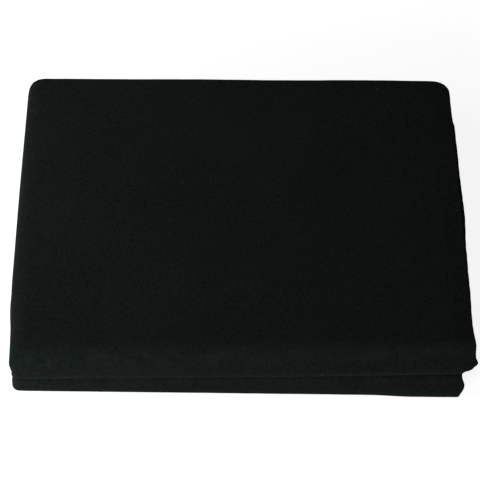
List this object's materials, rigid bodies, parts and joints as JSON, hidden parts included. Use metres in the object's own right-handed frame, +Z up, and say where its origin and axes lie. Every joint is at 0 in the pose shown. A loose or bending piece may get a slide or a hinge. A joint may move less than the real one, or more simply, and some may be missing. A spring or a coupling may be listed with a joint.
{
  "type": "calligraphy felt mat",
  "caption": "Soft black felt mat for laying under calligraphy paper, doubled lengthwise and folded zigzag into a flat rectangular bundle that opens out at its creases.",
  "frame": {"origin": "on the resting surface, under the middle of the folded bundle's box", "axes": "+Z up out of the bundle's top face, +X to the right along the folded front, +Y from the rolled front towards the back"},
  "size_m": [0.4068, 0.3196, 0.0477],
  "materials": {
    "felt": "matt near-black pressed wool felt with a short soft nap"
  },
  "bodies": {
    "top_leaf": {"top_leaf_upper_ply": "felt", "top_leaf_lower_ply": "felt", "top_leaf_side_fold": "felt"},
    "second_leaf": {"second_leaf_upper_ply": "felt", "second_leaf_lower_ply": "felt", "second_leaf_side_fold": "felt", "upper_front_bend_outer": "felt", "upper_front_bend_inner": "felt", "upper_front_bend_side": "felt"},
    "third_leaf": {"third_leaf_upper_ply": "felt", "third_leaf_lower_ply": "felt", "third_leaf_side_fold": "felt", "back_bend_outer": "felt", "back_bend_inner": "felt", "back_bend_side": "felt"},
    "bottom_leaf": {"bottom_leaf_upper_ply": "felt", "bottom_leaf_lower_ply": "felt", "bottom_leaf_side_fold": "felt", "lower_front_bend_outer": "felt", "lower_front_bend_inner": "felt", "lower_front_bend_side": "felt"}
  },
  "joints": [
    {"name": "upper_front_fold", "type": "hinge", "parent": "second_leaf", "child": "top_leaf", "pos_m": [0.00217, -0.14128, 0.03585], "axis": [1, 0.0052, 0], "range_deg": [0, 180], "deforming": ["upper_front_bend_outer", "upper_front_bend_inner", "upper_front_bend_side"]},
    {"name": "back_fold", "type": "hinge", "parent": "third_leaf", "child": "second_leaf", "pos_m": [0.00018, 0.14433, 0.02385], "axis": [-1, 0.0017, 0], "range_deg": [0, 180], "deforming": ["back_bend_outer", "back_bend_inner", "back_bend_side"]},
    {"name": "lower_front_fold", "type": "hinge", "parent": "third_leaf", "child": "bottom_leaf", "pos_m": [-0.00285, -0.14477, 0.01185], "axis": [-0.9999, 0.0166, 0], "range_deg": [0, 180], "deforming": ["lower_front_bend_outer", "lower_front_bend_inner", "lower_front_bend_side"]}
  ]
}
